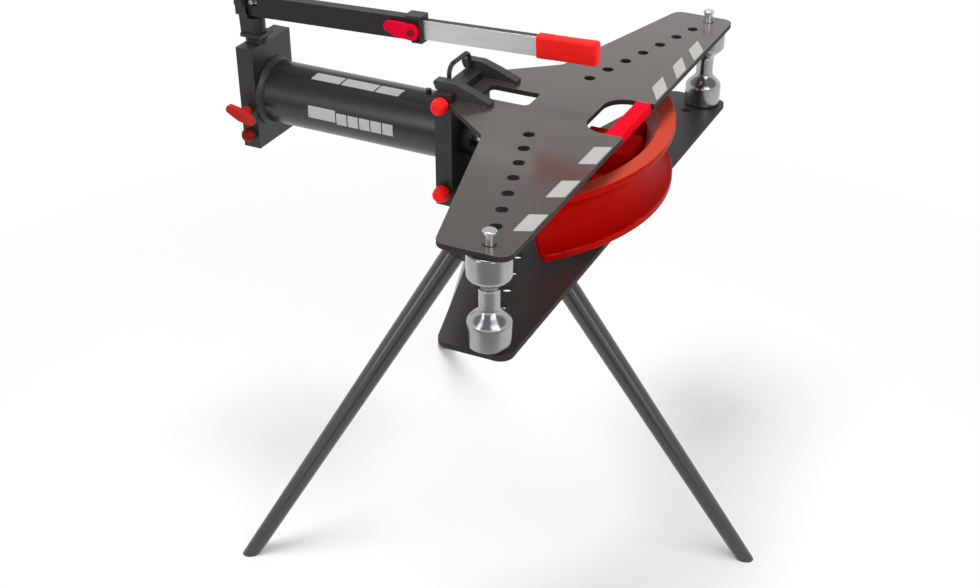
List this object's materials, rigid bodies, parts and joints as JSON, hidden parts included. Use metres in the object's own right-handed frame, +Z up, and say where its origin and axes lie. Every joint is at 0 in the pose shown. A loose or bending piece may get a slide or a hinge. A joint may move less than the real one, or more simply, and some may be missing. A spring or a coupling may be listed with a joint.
{
  "type": "hydraulic pipe bender",
  "caption": "Hand-pumped hydraulic pipe bender on a tripod: winged plates with rows of support holes, two rollers, a grooved former on a ram and a telescopic lever.",
  "frame": {"origin": "on the floor, in the middle of the bounding box", "axes": "+X the way the ram pushes, +Y towards the far wing, +Z up"},
  "size_m": [0.9079, 0.886, 0.8508],
  "materials": {
    "plate_paint": "satin dark grey paint",
    "block_paint": "satin black paint",
    "leg_paint": "semi-gloss dark grey paint",
    "crimson_paint": "gloss crimson paint",
    "black_oxide": "black oxide",
    "steel": "turned, bright",
    "spring_steel": "oiled",
    "chrome_rod": "hard chrome, polished",
    "bronze": "turned",
    "seal_rubber": "matt",
    "former_paint": "satin brick-red paint",
    "bar_aluminium": "brushed, clear",
    "red_plastic": "moulded, semi-gloss"
  },
  "bodies": {
    "frame": {"bottom_plate": "plate_paint", "top_plate": "plate_paint", "upper_near_claw": "block_paint", "upper_far_claw": "block_paint", "lower_near_claw": "block_paint", "lower_far_claw": "block_paint", "lifting_bail": "block_paint", "notch_bar": "crimson_paint", "head_block": "block_paint", "oil_jacket": "block_paint", "pressure_cylinder": "steel", "rear_collar": "block_paint", "gland_nut": "black_oxide", "gland_bush": "bronze", "rod_seal": "seal_rubber", "filler_plug": "black_oxide", "pump_block": "block_paint", "pump_barrel": "block_paint", "pump_bracket": "block_paint", "fulcrum_pin": "black_oxide", "check_balls": "steel", "check_springs": "spring_steel", "passage_plugs": "black_oxide", "leg_hub": "block_paint", "hub_bolts": "black_oxide", "front_leg": "leg_paint", "near_leg": "leg_paint", "far_leg": "leg_paint", "leg_screws": "black_oxide", "pin_cups": "plate_paint"},
    "ram": {"ram_rod": "chrome_rod", "piston": "steel", "piston_seal": "seal_rubber", "piston_nut": "steel", "return_spring": "spring_steel", "ram_head": "steel", "former_rim": "former_paint", "former_hub": "former_paint", "lock_pin": "steel"},
    "lever": {"lever_tube": "block_paint", "lever_collar": "black_oxide", "latch_pin": "black_oxide"},
    "plunger": {"plunger": "steel", "plunger_pin": "steel", "plunger_seal": "seal_rubber"},
    "handle": {"slide_bar": "bar_aluminium", "grip": "red_plastic"},
    "latch": {"latch": "crimson_paint"},
    "release_valve": {"release_spindle": "steel", "release_wing": "red_plastic"},
    "bleed_cap": {"bleed_cap": "red_plastic"},
    "upper_cross_pin": {"upper_cross_pin": "steel", "upper_knob": "red_plastic"},
    "lower_cross_pin": {"lower_cross_pin": "steel", "lower_knob": "red_plastic"},
    "near_roller": {"near_roller": "steel"},
    "far_roller": {"far_roller": "steel"},
    "near_pin": {"near_pin": "steel"},
    "far_pin": {"far_pin": "steel"}
  },
  "joints": [
    {"name": "ram_slide", "type": "slide", "parent": "frame", "child": "ram", "axis": [1, 0, 0], "range_m": [-0.145, 0.065], "deforming": ["return_spring"]},
    {"name": "lever_swing", "type": "hinge", "parent": "frame", "child": "lever", "pos_m": [-0.44066, -0.018, 0.818], "axis": [0, -1, 0], "range_deg": [0, 40]},
    {"name": "plunger_slide", "type": "slide", "parent": "frame", "child": "plunger", "axis": [0, 0, 1], "range_m": [0, 0.015]},
    {"name": "handle_slide", "type": "slide", "parent": "lever", "child": "handle", "axis": [0.9994, 0, 0.0349], "range_m": [-0.165, 0.06]},
    {"name": "latch_swing", "type": "hinge", "parent": "lever", "child": "latch", "pos_m": [-0.13704, -0.032, 0.8201], "axis": [0, -1, 0], "range_deg": [0, 20], "stiffness_Nm_per_rad": 0.4, "springref_deg": -14.32},
    {"name": "release_turn", "type": "hinge", "parent": "frame", "child": "release_valve", "pos_m": [-0.42467, -0.06, 0.649], "axis": [0, -1, 0], "range_deg": [0, 360]},
    {"name": "bleed_turn", "type": "hinge", "parent": "frame", "child": "bleed_cap", "pos_m": [-0.42467, -0.06, 0.6075], "axis": [0, -1, 0], "range_deg": [0, 360]},
    {"name": "upper_pin_pull", "type": "slide", "parent": "frame", "child": "upper_cross_pin", "axis": [0, -1, 0], "range_m": [0, 0.125]},
    {"name": "lower_pin_pull", "type": "slide", "parent": "frame", "child": "lower_cross_pin", "axis": [0, -1, 0], "range_m": [0, 0.125]},
    {"name": "near_roller_spin", "type": "hinge", "parent": "frame", "child": "near_roller", "pos_m": [0.17693, -0.41355, 0.66], "axis": [0, 0, 1], "continuous": true},
    {"name": "far_roller_spin", "type": "hinge", "parent": "frame", "child": "far_roller", "pos_m": [0.17693, 0.41355, 0.66], "axis": [0, 0, 1], "continuous": true},
    {"name": "near_pin_lift", "type": "slide", "parent": "frame", "child": "near_pin", "axis": [0, 0, 1], "range_m": [0, 0.155]},
    {"name": "far_pin_lift", "type": "slide", "parent": "frame", "child": "far_pin", "axis": [0, 0, 1], "range_m": [0, 0.155]}
  ],
  "couplings": [
    {"joint": "plunger_slide", "follows": "lever_swing", "m_per_rad": 0.0212}
  ]
}
